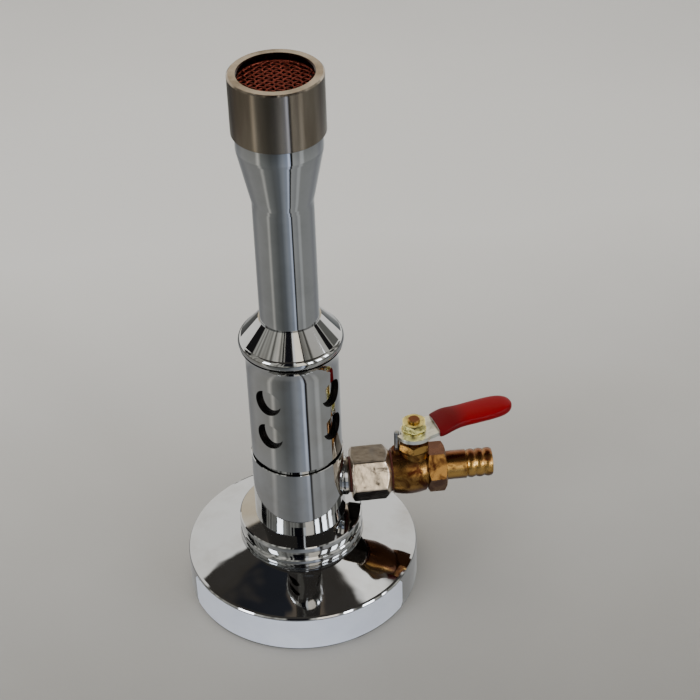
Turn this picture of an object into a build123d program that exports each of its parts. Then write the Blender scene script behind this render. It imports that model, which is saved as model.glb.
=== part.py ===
from build123d import *
import os
from math import atan, cos, degrees, radians, sqrt, tan

# Grid-top gas burner with a quarter-turn ball valve. Millimetres, +Z up.
# The origin lies on the burner's axis, in the plane that the foot stands on, and the gas pipe runs
# along +X. What belongs to the burner is turned about Z, what belongs to the valve about the pipe.
# Threads are drawn plain, with THREAD_GAP between the two sides.

# ---- driving dimensions ----
MOUTH_R = 12.0          # orifice of a 24 mm grid-top burner
TOTAL_H = 207.0
BASE_R = 41.5
PIPE_Z = 43.5           # height of the gas pipe's axis
STEM_X = 41.4           # valve stem's distance from the burner's axis
LEVER_REST = 14.0       # degrees that the lever stands past the open position

THREAD_GAP = 0.05       # radial
RUN_GAP = 0.05          # radial, turning fits
FACE_GAP = 0.3          # beside a turning end face
EDGE = 0.5              # usual broken edge

# foot
WALL_TOP_Z = 14.4
CONE_FOOT_Z = 15.2
BASE_TOP_Z = 20.6
FOOT_IN_R = 33.0
RELIEF_H = 2.5
POCKET_R = 11.0
POCKET_TOP_Z = 11.0
SCREW_R = 4.0
SCREW_HOLE_R = 4.4
WASHER_H = 1.6
LABEL_T = 0.12
LABEL_Z = (1.0, 13.9)
LABEL_ARC = (-73.0, 53.0)   # degrees from -Y towards +X

# collar between foot and gas body
COLLAR_R = 22.0
COLLAR_TOP_Z = 30.8     # where the gas body stands on it
COLLAR_EDGE_Z = 30.0    # its top falls to here
GROOVE_Z = 24.9
GROOVE_DEPTH = 0.7
SPIGOT_R = 12.9

# gas body
BODY_R = 16.18
BODY_TOP_Z = 58.6
NECK_R = 14.7
NECK_TOP_Z = 59.6
BOSS_R = 7.1
BOSS_END_X = 17.8
RECESS_R = 11.6
RECESS_Z = 51.0
GAS_R = 3.0
JET_R = 3.95
SCREW_DEPTH_Z = 34.0

# mixing tube and air sleeve
TUBE_R = 14.3
TUBE_BORE_R = 11.4
TUBE_FOOT_Z = 52.0
TUBE_TOP_Z = 108.0
SLEEVE_R = 15.9
SLEEVE_TOP_R = 17.5
SLEEVE_FLARE_Z = 97.5
SLEEVE_TOP_Z = 104.6
AIR_HOLE_R = 5.0
AIR_PORT_R = 5.0
AIR_ROWS_Z = (74.4, 88.8)
AIR_FIRST = -39.0       # degrees from -Y towards +X, first column of sleeve holes
AIR_COLUMNS = 4

# shoulder, barrel and head
SHOULDER_R = 17.9
SHOULDER_TOP_Z = 115.8
BARREL_R = 10.1
BARREL_BORE_R = 8.6
BARREL_FOOT_Z = 94.5
FLARE_Z = (162.1, 180.5)
FLARE_R = 14.1
HEAD_Z = 186.5
HEAD_R = 15.17
HEAD_BORE_R = 13.0
GRID_TOP_Z = 204.9
GRID_H = 1.6
GRID_PITCH = 2.0
GRID_WIRE = 0.9
CLIP_H = 1.8

# valve, stations along the pipe
NIPPLE_R = 4.9
NIPPLE_X = (9.0, 26.0)
PIPE_BORE_R = 2.8
WASHER_T = 0.6
CAP_FLATS = 17.5
CAP_CONE_X = 30.3
CAP_END_X = 32.7
CAP_SPIGOT_R = 6.7
CAP_SPIGOT_X = 38.1
BODY_SEAL_T = 0.5
CHAMBER_END_X = 45.0
HEX_X = (45.6, 52.4)
HEX_FLATS = 15.5
HEX_TURN = -7.0         # a screwed joint ends where it ends
BALL_R = 5.2
BALL_BORE_R = 2.75
SEAT_R = 5.4            # bore that the seats lie in
SEAT_X = (2.9, 5.5)     # from the ball's centre
BONNET_R = 5.2
BONNET_Z = 53.6
STEM_R = 2.5
FLANGE_R = 2.9
FLANGE_Z = (48.9, 50.0)
PACKING_Z = (51.0, 52.2)
PACKING_R = 3.95
GLAND_FLATS = 10.0
GLAND_TOP_Z = 57.0
TAIL_R = 5.2            # outside of the hose tail
TAIL_LAND_X = 60.2      # end of the plain part
TAIL_END_X = 69.3
RIDGES = 3
RIDGE_DEPTH = 0.5
TANG_W = 2.0            # what turns the ball
TANG_DEPTH = 1.6

# lever, U along it from the stem
PLATE_Z = (60.0, 61.5)
HUB_R = 6.9
NOTCH_R = 5.0
PIN_R = 1.0
PIN_U = 6.2             # stop pin's distance from the stem
PIN_TOP_Z = 61.2
PIN_ROOM = 11.0         # degrees on each side of the pin at the stops
QUARTER = 90.0
CRANK_U = (8.0, 13.0)
CRANK_RISE = 1.5
PLATE_END_U = 35.6
PLATE_HALF_W = 3.9
FLATS = 3.6
THREAD_R = 2.2
STEM_TOP_Z = 66.3
NUT_FLATS = 8.0
NUT_H = 3.2
SPRING_WASHER_H = 0.6
SPRING_WASHER_R = 4.4
GRIP_U = (7.8, 37.4)
GRIP_WALL = 1.2

# ---- sizes that follow from the others ----
TAIL_SPIGOT_R = TAIL_R - 0.7
TAIL_SEAL_X = (STEM_X + SEAT_X[1] + 0.5, STEM_X + SEAT_X[1] + 1.3)
PIN_FOOT_Z = PIPE_Z + CAP_SPIGOT_R + 1.0

PIPE = Plane(origin=(0, 0, PIPE_Z), x_dir=(0, 1, 0), z_dir=(1, 0, 0))
BALL = Pos(STEM_X, 0, PIPE_Z)
LEVER = Pos(STEM_X, 0, 0) * Rot(0, 0, LEVER_REST)


def turned(*points):
    """Solid turned about Z from a closed outline of (radius, height) points."""
    return revolve(Plane.XZ * make_face(Polyline(*points, close=True)), Axis.Z)


def ring(inner, outer, low, high):
    """Plain ring about Z."""
    return turned((inner, low), (outer, low), (outer, high), (inner, high))


def rod(radius, low, high):
    """Plain cylinder about Z."""
    return Pos(0, 0, low) * Cylinder(radius, high - low, align=(Align.CENTER, Align.CENTER, Align.MIN))


def hexagon(across_flats, low, high, turn=0.0):
    """Hexagon bar about Z, its corners turned back at both ends."""
    flat_r = across_flats / 2
    corner_r = flat_r / cos(radians(30))
    face_r = flat_r - 0.2
    drop = (corner_r - face_r) * tan(radians(30))
    bar = extrude(RegularPolygon(flat_r, 6, major_radius=False, rotation=turn), amount=high - low)
    limit = turned((0, low), (face_r, low), (corner_r, low + drop), (corner_r, high - drop),
                   (face_r, high), (0, high))
    return Pos(0, 0, low) * bar & limit


def base_casting():
    return turned(
        (SCREW_HOLE_R, POCKET_TOP_Z), (SCREW_HOLE_R, BASE_TOP_Z), (COLLAR_R + 0.3, BASE_TOP_Z),
        (BASE_R - 1.0, CONE_FOOT_Z), (BASE_R - 0.3, WALL_TOP_Z + 0.5), (BASE_R, WALL_TOP_Z),
        (BASE_R, EDGE), (BASE_R - EDGE, 0), (FOOT_IN_R, 0), (FOOT_IN_R - 1.0, RELIEF_H),
        (POCKET_R, RELIEF_H), (POCKET_R, POCKET_TOP_Z))


def base_label():
    first, last = LABEL_ARC
    low, high = LABEL_Z
    outline = Polyline((BASE_R, low), (BASE_R + LABEL_T, low), (BASE_R + LABEL_T, high),
                       (BASE_R, high), close=True)
    strip = revolve(Plane.XZ * make_face(outline), Axis.Z, revolution_arc=last - first)
    return Rot(0, 0, first - 90) * strip


def base_collar():
    """Ring with a shallow conical top and two beads round it, parted by a narrow groove."""
    low, edge, root = BASE_TOP_Z, COLLAR_EDGE_Z, COLLAR_R - GROOVE_DEPTH
    above, below = GROOVE_Z + 0.5, GROOVE_Z - 0.5
    outline = (
        Polyline((COLLAR_R - 0.5, low), (SPIGOT_R + THREAD_GAP, low), (SPIGOT_R + THREAD_GAP, COLLAR_TOP_Z),
                 (BODY_R, COLLAR_TOP_Z), (COLLAR_R - 0.5, edge), (COLLAR_R - 0.15, edge - 0.35))
        + ThreePointArc((COLLAR_R - 0.15, edge - 0.35), (COLLAR_R + 0.1, (edge + above) / 2),
                        (COLLAR_R - 0.15, above))
        + Polyline((COLLAR_R - 0.15, above), (root, GROOVE_Z), (COLLAR_R - 0.25, below))
        + ThreePointArc((COLLAR_R - 0.25, below), (COLLAR_R + 0.2, (below + low) / 2), (COLLAR_R - 0.5, low)))
    return revolve(Plane.XZ * make_face(outline), Axis.Z)


def base_screw():
    head_r, head_h, key_flats, key_depth = 6.5, 8.0, 6.0, 4.0
    head_top = POCKET_TOP_Z - WASHER_H
    head_low = head_top - head_h
    body = turned((0, head_low), (head_r - EDGE, head_low), (head_r, head_low + EDGE),
                  (head_r, head_top), (SCREW_R - THREAD_GAP, head_top),
                  (SCREW_R - THREAD_GAP, SCREW_DEPTH_Z - 3), (SCREW_R - 1, SCREW_DEPTH_Z - 2),
                  (0, SCREW_DEPTH_Z - 2))
    key = extrude(RegularPolygon(key_flats / 2, 6, major_radius=False), amount=key_depth)
    return body - Pos(0, 0, head_low) * key


def base_washer():
    return ring(SCREW_HOLE_R - 0.1, POCKET_R - 2.5, POCKET_TOP_Z - WASHER_H, POCKET_TOP_Z)


def gas_body():
    body = turned(
        (0, BASE_TOP_Z), (SPIGOT_R, BASE_TOP_Z), (SPIGOT_R, COLLAR_TOP_Z),
        (BODY_R - 0.15, COLLAR_TOP_Z), (BODY_R, COLLAR_TOP_Z + 0.15),
        (BODY_R, BODY_TOP_Z - 0.2), (BODY_R - 0.2, BODY_TOP_Z), (NECK_R, BODY_TOP_Z),
        (NECK_R, NECK_TOP_Z), (0, NECK_TOP_Z))
    boss = PIPE * turned((0, 0), (BOSS_R - 0.4, 0), (BOSS_R - 0.4, BOSS_END_X - 2.6),
                         (BOSS_R, BOSS_END_X - 1.8), (BOSS_R, BOSS_END_X - 0.9),
                         (BOSS_R - 0.9, BOSS_END_X), (0, BOSS_END_X))
    body = body + boss
    body -= rod(RECESS_R, RECESS_Z, NECK_TOP_Z)
    body -= rod(JET_R, PIPE_Z + GAS_R, RECESS_Z)
    body -= rod(GAS_R, PIPE_Z - GAS_R, PIPE_Z + GAS_R)
    body -= rod(SCREW_R, BASE_TOP_Z, SCREW_DEPTH_Z)
    body -= PIPE * rod(GAS_R, 0, NIPPLE_X[0])
    body -= PIPE * rod(NIPPLE_R + THREAD_GAP, NIPPLE_X[0], BOSS_END_X)
    return body


def gas_jet():
    flats, shoulder_z, hex_top, tip_z = 10.0, RECESS_Z + 0.7, RECESS_Z + 5.0, RECESS_Z + 13.0
    body = rod(JET_R - THREAD_GAP, PIPE_Z + GAS_R + 0.3, shoulder_z)
    body += hexagon(flats, shoulder_z, hex_top)
    body += turned((0, hex_top), (4.2, hex_top), (4.2, hex_top + 2), (1.6, tip_z), (0, tip_z))
    body -= rod(2.0, PIPE_Z + GAS_R + 0.3, tip_z - 3)
    return body - rod(0.45, tip_z - 3, tip_z)


def jet_washer():
    return ring(JET_R, 6.2, RECESS_Z, RECESS_Z + 0.7)


def inner_tube():
    foot_r = RECESS_R - THREAD_GAP
    tube = turned(
        (foot_r - 1.7, TUBE_FOOT_Z), (foot_r, TUBE_FOOT_Z), (foot_r, NECK_TOP_Z), (TUBE_R, NECK_TOP_Z),
        (TUBE_R, TUBE_TOP_Z), (BARREL_R + THREAD_GAP, TUBE_TOP_Z),
        (BARREL_R + THREAD_GAP, BARREL_FOOT_Z - 0.5), (TUBE_BORE_R, BARREL_FOOT_Z - 2.5),
        (TUBE_BORE_R, NECK_TOP_Z + 4), (foot_r - 1.7, NECK_TOP_Z + 2))
    # the ports stand half a step from the sleeve's holes, so that the air is shut at rest
    return tube - air_holes(AIR_PORT_R, 180 / AIR_COLUMNS)


def air_holes(radius, offset):
    """Radial drills for both rows, all the way round."""
    drill = Plane.YZ * rod(radius, 0, SLEEVE_R + 5)
    step = 360 / AIR_COLUMNS
    return [Rot(0, 0, AIR_FIRST - 90 + offset + step * column) * Pos(0, 0, row) * drill
            for row in AIR_ROWS_Z for column in range(AIR_COLUMNS)]


def air_sleeve():
    low, bore = NECK_TOP_Z + FACE_GAP, TUBE_R + RUN_GAP
    flare_mid = (SLEEVE_R + 0.35, (SLEEVE_FLARE_Z + SLEEVE_TOP_Z) / 2 + 0.3)
    outline = (
        Polyline((SLEEVE_TOP_R, SLEEVE_TOP_Z), (bore, SLEEVE_TOP_Z), (bore, low),
                 (SLEEVE_R - 0.25, low), (SLEEVE_R, low + 0.25), (SLEEVE_R, SLEEVE_FLARE_Z))
        + ThreePointArc((SLEEVE_R, SLEEVE_FLARE_Z), flare_mid, (SLEEVE_TOP_R, SLEEVE_TOP_Z)))
    return revolve(Plane.XZ * make_face(outline), Axis.Z) - air_holes(AIR_HOLE_R, 0)


def barrel_shoulder():
    low = SLEEVE_TOP_Z + FACE_GAP
    bead_top = low + 3.6
    outline = (
        Polyline((SHOULDER_R - 1.1, bead_top), (BARREL_R + 0.5, SHOULDER_TOP_Z),
                 (BARREL_R + THREAD_GAP, SHOULDER_TOP_Z), (BARREL_R + THREAD_GAP, TUBE_TOP_Z),
                 (TUBE_R + THREAD_GAP, TUBE_TOP_Z), (TUBE_R + THREAD_GAP, low),
                 (SHOULDER_R - 0.6, low))
        + ThreePointArc((SHOULDER_R - 0.6, low), (SHOULDER_R, low + 1.8), (SHOULDER_R - 1.1, bead_top)))
    return revolve(Plane.XZ * make_face(outline), Axis.Z)


def barrel():
    neck_top = GRID_TOP_Z - GRID_H - CLIP_H
    neck_r, neck_bore = HEAD_BORE_R - THREAD_GAP, HEAD_BORE_R - 1.7
    return turned(
        (BARREL_BORE_R, BARREL_FOOT_Z), (BARREL_R, BARREL_FOOT_Z), (BARREL_R, FLARE_Z[0] - 1.5),
        (BARREL_R + 0.15, FLARE_Z[0]), (BARREL_R + 0.6, FLARE_Z[0] + 2), (FLARE_R - 0.5, FLARE_Z[1] - 2),
        (FLARE_R - 0.1, FLARE_Z[1]), (FLARE_R, FLARE_Z[1] + 1), (FLARE_R, HEAD_Z), (neck_r, HEAD_Z),
        (neck_r, neck_top), (neck_bore, neck_top), (neck_bore, FLARE_Z[1] + 2),
        (BARREL_BORE_R, FLARE_Z[0] + 2))


def head_ring():
    return turned(
        (HEAD_BORE_R, HEAD_Z), (HEAD_R - 0.4, HEAD_Z), (HEAD_R, HEAD_Z + 0.4),
        (HEAD_R, TOTAL_H - EDGE), (HEAD_R - EDGE, TOTAL_H), (MOUTH_R + 0.4, TOTAL_H),
        (MOUTH_R, TOTAL_H - 0.4), (MOUTH_R, GRID_TOP_Z), (HEAD_BORE_R, GRID_TOP_Z))


def burner_grid():
    """Two layers of crossed wires in a rim, laid at 45 degrees to the gas pipe."""
    low, rim_r, rim_w = GRID_TOP_Z - GRID_H, HEAD_BORE_R - 0.1, 1.0
    grid = ring(rim_r - rim_w, rim_r, low, GRID_TOP_Z)
    count = int((rim_r - rim_w) / GRID_PITCH)
    for row in range(-count, count + 1):
        shift = row * GRID_PITCH
        length = 2 * sqrt((rim_r - rim_w / 2) ** 2 - shift ** 2)
        bar = Box(length, GRID_WIRE, GRID_H / 2)
        grid += Pos(0, 0, low + GRID_H / 4) * Rot(0, 0, 45) * Pos(0, shift, 0) * bar
        grid += Pos(0, 0, low + 3 * GRID_H / 4) * Rot(0, 0, 135) * Pos(0, shift, 0) * bar
    return grid


def grid_retaining_ring():
    top = GRID_TOP_Z - GRID_H
    return ring(HEAD_BORE_R - 1.6, HEAD_BORE_R - 0.1, top - CLIP_H, top)


def inlet_nipple():
    return PIPE * ring(PIPE_BORE_R, NIPPLE_R, *NIPPLE_X)


def nipple_washer():
    return PIPE * ring(NIPPLE_R + THREAD_GAP, BOSS_R - 0.7, BOSS_END_X, BOSS_END_X + WASHER_T)


def valve_end_cap():
    low = BOSS_END_X + WASHER_T
    flat_r = CAP_FLATS / 2
    corner_r = flat_r / cos(radians(30))
    bar = extrude(RegularPolygon(flat_r, 6, major_radius=False), amount=CAP_END_X - low)
    limit = turned((0, low), (flat_r - 0.2, low), (corner_r, low + 0.9), (corner_r, CAP_CONE_X),
                   (CAP_SPIGOT_R + 0.6, CAP_END_X), (0, CAP_END_X))
    cap = (Pos(0, 0, low) * bar & limit) + rod(CAP_SPIGOT_R, CAP_END_X, CAP_SPIGOT_X)
    cap -= rod(NIPPLE_R + THREAD_GAP, low, NIPPLE_X[1])
    cap -= rod(PIPE_BORE_R, NIPPLE_X[1], CAP_SPIGOT_X)
    cap -= rod(SEAT_R, STEM_X - SEAT_X[1], CAP_SPIGOT_X)
    return PIPE * cap


def cap_seal():
    return PIPE * ring(CAP_SPIGOT_R + THREAD_GAP, CAP_SPIGOT_R + 0.6, CAP_END_X, CAP_END_X + BODY_SEAL_T)


def valve_body():
    start = CAP_END_X + BODY_SEAL_T
    waist = Polyline((7.3, CHAMBER_END_X + 0.2), (7.3, HEX_X[0]), (0, HEX_X[0]), (0, start), (8.0, start))
    outline = (waist + ThreePointArc((8.0, start), (8.9, (start + CHAMBER_END_X) / 2), (8.0, CHAMBER_END_X))
               + Line((8.0, CHAMBER_END_X), (7.3, CHAMBER_END_X + 0.2)))
    body = PIPE * revolve(Plane.XZ * make_face(outline), Axis.Z)
    body += PIPE * hexagon(HEX_FLATS, *HEX_X, turn=HEX_TURN)
    body += Pos(STEM_X, 0, 0) * rod(BONNET_R, PIPE_Z, BONNET_Z)
    body += Pos(STEM_X - PIN_U, 0, 0) * rod(2 * PIN_R, PIPE_Z, BONNET_Z)
    body -= PIPE * rod(CAP_SPIGOT_R + THREAD_GAP, start, CAP_SPIGOT_X + 0.4)
    body -= PIPE * rod(SEAT_R, CAP_SPIGOT_X, STEM_X + SEAT_X[1])
    body -= PIPE * rod(PIPE_BORE_R, STEM_X, TAIL_SEAL_X[0])
    body -= PIPE * rod(TAIL_SPIGOT_R + THREAD_GAP, TAIL_SEAL_X[0], HEX_X[1])
    stem_bores = (rod(FLANGE_R + 0.15, PIPE_Z, FLANGE_Z[1] + 0.2) + rod(STEM_R + RUN_GAP, PIPE_Z, BONNET_Z)
                  + rod(PACKING_R + THREAD_GAP, PACKING_Z[0], BONNET_Z))
    body -= Pos(STEM_X, 0, 0) * stem_bores
    return body - Pos(STEM_X - PIN_U, 0, 0) * rod(PIN_R, PIN_FOOT_Z, BONNET_Z)


def stop_pin():
    return Pos(STEM_X - PIN_U, 0, 0) * turned(
        (0, PIN_FOOT_Z), (PIN_R - 0.02, PIN_FOOT_Z), (PIN_R - 0.02, PIN_TOP_Z - 0.3),
        (PIN_R - 0.3, PIN_TOP_Z), (0, PIN_TOP_Z))


def valve_ball():
    bore = Rot(0, 90, 0) * Cylinder(BALL_BORE_R, 4 * BALL_R)
    slot = Pos(0, 0, FLANGE_Z[0] - TANG_DEPTH - 0.1 - PIPE_Z) * Box(
        4 * BALL_R, TANG_W + 0.1, BALL_R, align=(Align.CENTER, Align.CENTER, Align.MIN))
    return BALL * Rot(0, 0, LEVER_REST) * (Sphere(BALL_R) - bore - slot)


def ball_seat(side):
    """PTFE ring with a hollowed face that the ball turns against."""
    hollow_r, outer = BALL_R + RUN_GAP, SEAT_R - 0.05
    near, far = SEAT_X
    edge_r, lip_x = sqrt(hollow_r ** 2 - near ** 2), sqrt(hollow_r ** 2 - PIPE_BORE_R ** 2)
    middle = Vector(edge_r + PIPE_BORE_R, near + lip_x).normalized() * hollow_r
    outline = (Polyline((PIPE_BORE_R, lip_x), (PIPE_BORE_R, far), (outer, far), (outer, near), (edge_r, near))
               + ThreePointArc((edge_r, near), (middle.X, middle.Y), (PIPE_BORE_R, lip_x)))
    seat = revolve(Plane.XZ * make_face(outline), Axis.Z)
    return BALL * Rot(0, 90 * side, 0) * seat


def valve_stem():
    low, shoulder = FLANGE_Z
    stem = turned((0, low), (FLANGE_R, low), (FLANGE_R, shoulder), (STEM_R, shoulder),
                  (STEM_R, PLATE_Z[1]), (THREAD_R, PLATE_Z[1]), (THREAD_R, STEM_TOP_Z - 0.4),
                  (THREAD_R - 0.4, STEM_TOP_Z), (0, STEM_TOP_Z))
    for side in (1, -1):
        flat = Box(4 * STEM_R, STEM_R, PLATE_Z[1] - PLATE_Z[0],
                   align=(Align.CENTER, Align.MIN if side > 0 else Align.MAX, Align.MIN))
        stem -= Pos(0, side * FLATS / 2, PLATE_Z[0]) * flat
    tang = Box(2 * STEM_R, TANG_W, TANG_DEPTH, align=(Align.CENTER, Align.CENTER, Align.MAX))
    return LEVER * (stem + Pos(0, 0, low) * tang)


def stem_packing():
    return Pos(STEM_X, 0, 0) * ring(STEM_R + 0.02, PACKING_R, *PACKING_Z)


def gland_nut():
    nut = hexagon(GLAND_FLATS, BONNET_Z, GLAND_TOP_Z, turn=20) + rod(PACKING_R, PACKING_Z[1], BONNET_Z)
    return Pos(STEM_X, 0, 0) * (nut - rod(STEM_R + RUN_GAP, PACKING_Z[1], GLAND_TOP_Z))


def cranked(start, end, half_width, grow=0.0):
    """Strip along the lever with the plate's crank, GROW thicker on each side than the plate."""
    low, high = PLATE_Z[0] - grow, PLATE_Z[1] + grow
    lag = (high - low) * tan(atan(CRANK_RISE / (CRANK_U[1] - CRANK_U[0])) / 2)
    up = CRANK_RISE
    side = Polyline((start, low), (CRANK_U[0] + lag / 2, low), (CRANK_U[1] + lag / 2, low + up),
                    (end, low + up), (end, high + up), (CRANK_U[1] - lag / 2, high + up),
                    (CRANK_U[0] - lag / 2, high), (start, high), close=True)
    return extrude(Plane.XZ * make_face(side), amount=half_width, both=True)


def plate():
    """The lever without its hole: hub with the notch for the stop pin, and the arm."""
    first, last = 180 - QUARTER - PIN_ROOM, 180 + PIN_ROOM
    reach = 2 * HUB_R
    sector = make_face(Polyline(
        (0, 0), *[Vector(reach, 0).rotate(Axis.Z, first + (last - first) * k / 3) for k in range(4)],
        close=True))
    hub = Circle(HUB_R) - (sector - Circle(NOTCH_R))
    tip = PLATE_END_U - PLATE_HALF_W
    arm = make_face(
        Polyline((tip, -PLATE_HALF_W), (CRANK_U[1], -PLATE_HALF_W), (CRANK_U[0], -5.0), (1.2, -6.2),
                 (1.2, 6.2), (CRANK_U[0], 5.0), (CRANK_U[1], PLATE_HALF_W), (tip, PLATE_HALF_W))
        + ThreePointArc((tip, PLATE_HALF_W), (PLATE_END_U, 0), (tip, -PLATE_HALF_W)))
    outline = hub + arm
    blank = extrude(outline, amount=PLATE_Z[1] - PLATE_Z[0] + CRANK_RISE)
    return Pos(0, 0, PLATE_Z[0]) * blank & cranked(-reach, 2 * PLATE_END_U, reach)


def lever():
    hole = rod(STEM_R + 0.05, *PLATE_Z) & Pos(0, 0, PLATE_Z[0]) * Box(
        4 * STEM_R, FLATS + 0.1, 5, align=(Align.CENTER, Align.CENTER, Align.MIN))
    return LEVER * (plate() - hole)


def lever_grip():
    start, end = GRIP_U
    side = [(start, 6.0), (start + 3.2, 6.3), (17.0, 5.2), (25.0, 5.5), (end - 5.3, 5.3)]
    far = Spline(*side)
    near = Spline(*[(u, -v) for u, v in reversed(side)])
    outline = (far + ThreePointArc(side[-1], (end, 0), (side[-1][0], -side[-1][1])) + near
               + Line((start, -side[0][1]), (start, side[0][1])))
    height = PLATE_Z[1] - PLATE_Z[0] + CRANK_RISE + 2 * GRIP_WALL
    blank = Pos(0, 0, PLATE_Z[0] - GRIP_WALL) * extrude(make_face(outline), amount=height)
    return LEVER * ((blank & cranked(0, 2 * end, 2 * HUB_R, GRIP_WALL)) - plate())


def lever_washer():
    low = PLATE_Z[1]
    return Pos(STEM_X, 0, 0) * ring(THREAD_R + 0.1, SPRING_WASHER_R, low, low + SPRING_WASHER_H)


def lever_nut():
    low = PLATE_Z[1] + SPRING_WASHER_H
    nut = hexagon(NUT_FLATS, low, low + NUT_H, turn=10) - rod(THREAD_R + THREAD_GAP, low, low + NUT_H)
    return LEVER * nut


def hose_tail():
    """Threaded spigot, plain land and rounded ridges, no ridge larger than the land."""
    pitch = (TAIL_END_X - TAIL_LAND_X) / RIDGES
    root = TAIL_R - RIDGE_DEPTH
    outline = Polyline((root, TAIL_END_X), (PIPE_BORE_R, TAIL_END_X), (PIPE_BORE_R, TAIL_SEAL_X[1]),
                       (TAIL_SPIGOT_R, TAIL_SEAL_X[1]), (TAIL_SPIGOT_R, HEX_X[1]), (TAIL_R, HEX_X[1]),
                       (TAIL_R, TAIL_LAND_X - 0.5), (root, TAIL_LAND_X))
    for k in range(RIDGES):
        low = TAIL_LAND_X + pitch * k
        outline += ThreePointArc((root, low), (TAIL_R, low + pitch / 2), (root, low + pitch))
    return PIPE * revolve(Plane.XZ * make_face(outline), Axis.Z)


def tail_seal():
    return PIPE * ring(PIPE_BORE_R, TAIL_SPIGOT_R, *TAIL_SEAL_X)


NODES = {
    "base_casting": base_casting, "base_label": base_label, "base_collar": base_collar,
    "base_screw": base_screw, "base_washer": base_washer, "gas_body": gas_body, "gas_jet": gas_jet,
    "jet_washer": jet_washer, "inner_tube": inner_tube, "air_sleeve": air_sleeve,
    "barrel_shoulder": barrel_shoulder, "barrel": barrel, "head_ring": head_ring,
    "burner_grid": burner_grid, "grid_retaining_ring": grid_retaining_ring,
    "inlet_nipple": inlet_nipple, "nipple_washer": nipple_washer, "valve_end_cap": valve_end_cap,
    "cap_seal": cap_seal, "valve_body": valve_body, "stop_pin": stop_pin, "valve_ball": valve_ball,
    "ball_seat_inner": lambda: ball_seat(-1), "ball_seat_outer": lambda: ball_seat(1),
    "valve_stem": valve_stem, "stem_packing": stem_packing, "gland_nut": gland_nut,
    "lever": lever, "lever_grip": lever_grip, "lever_washer": lever_washer, "lever_nut": lever_nut,
    "hose_tail": hose_tail, "tail_seal": tail_seal,
}

os.makedirs("parts", exist_ok=True)
for node, build in NODES.items():
    export_step(build(), f"parts/{node}.step")
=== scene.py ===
import logging
import math
from dataclasses import dataclass
from enum import Enum
from typing import Sequence

import bpy
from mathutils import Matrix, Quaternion, Vector


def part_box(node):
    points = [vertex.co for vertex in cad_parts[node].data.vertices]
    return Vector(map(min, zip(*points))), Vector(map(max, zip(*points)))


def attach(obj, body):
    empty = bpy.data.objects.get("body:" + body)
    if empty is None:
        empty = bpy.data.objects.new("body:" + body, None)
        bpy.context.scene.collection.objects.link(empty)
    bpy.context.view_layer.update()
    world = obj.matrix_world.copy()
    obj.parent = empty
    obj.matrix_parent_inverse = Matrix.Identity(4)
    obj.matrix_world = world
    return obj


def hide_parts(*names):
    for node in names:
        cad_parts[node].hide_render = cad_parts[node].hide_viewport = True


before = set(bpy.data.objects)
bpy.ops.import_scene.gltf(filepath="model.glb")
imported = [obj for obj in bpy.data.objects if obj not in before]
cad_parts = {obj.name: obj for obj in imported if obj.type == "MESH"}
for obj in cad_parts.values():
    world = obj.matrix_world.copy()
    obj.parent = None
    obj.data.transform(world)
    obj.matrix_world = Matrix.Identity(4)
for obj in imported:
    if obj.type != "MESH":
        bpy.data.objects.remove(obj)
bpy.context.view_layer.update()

# Looks of a grid-top gas burner with a side ball valve. Sizes in the classes are millimetres; every
# Blender object is in metres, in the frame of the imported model.

MM = 0.001
log = logging.getLogger("burner")

# the sRGB curve: a straight toe, then a power law
TOE_END, TOE_SLOPE, CURVE_OFFSET, CURVE_POWER = 0.04045, 12.92, 0.055, 2.4

# which faces of a turned piece take painted shade
NOT_SKIN = 0.5       # bores, drilled walls and end faces
BORE_ALONE = -0.5

# Z of a face's normal where its painted top or underside shade starts, and where it is full
LOOKS_UP = (0.55, 0.95)
LOOKS_DOWN = (-0.2, -0.45)

# in millimetres: points closer than these are one point
WELD = 0.002
NODE_WELD = 0.001
SAME_PLACE = 0.01

# in degrees: edges flatter than these are shaded smooth
CRISP_EDGES = 32.0
ROUND_EDGES = 60.0


class Body(str, Enum):
    """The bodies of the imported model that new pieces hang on."""

    ROOT = "root"
    LEVER = "valve_lever"


# ---------------------------------------------------------------------------------------------
# Colour and shader helpers
# ---------------------------------------------------------------------------------------------


def linear(code: str) -> tuple[float, float, float, float]:
    """Turns an sRGB hex colour to linear RGBA.

    Args:
        code: six hex digits with a leading #.

    Returns:
        The linear colour, opaque.
    """
    parts = [int(code[k:k + 2], 16) / 255 for k in (1, 3, 5)]
    red, green, blue = [
        p / TOE_SLOPE if p <= TOE_END
        else ((p + CURVE_OFFSET) / (1 + CURVE_OFFSET)) ** CURVE_POWER for p in parts]
    return red, green, blue, 1.0


def grey(value: float) -> tuple[float, float, float, float]:
    """Linear grey, for ramps that carry a number."""
    return value, value, value, 1.0


def per_mm(size: float) -> float:
    """Texture scale for a feature of SIZE millimetres on Object coordinates, in metres."""
    return 1.0 / (size * MM)


def feed(owner: bpy.types.ID, node: bpy.types.Node, inputs: dict) -> None:
    """Sets or links a node's inputs.

    Args:
        owner: the material or world that the node is in.
        node: the node.
        inputs: socket name or number to a value, or to an output socket that is linked to it.
    """
    for name, value in inputs.items():
        if isinstance(value, bpy.types.NodeSocket):
            owner.node_tree.links.new(value, node.inputs[name])
        else:
            node.inputs[name].default_value = value


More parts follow.
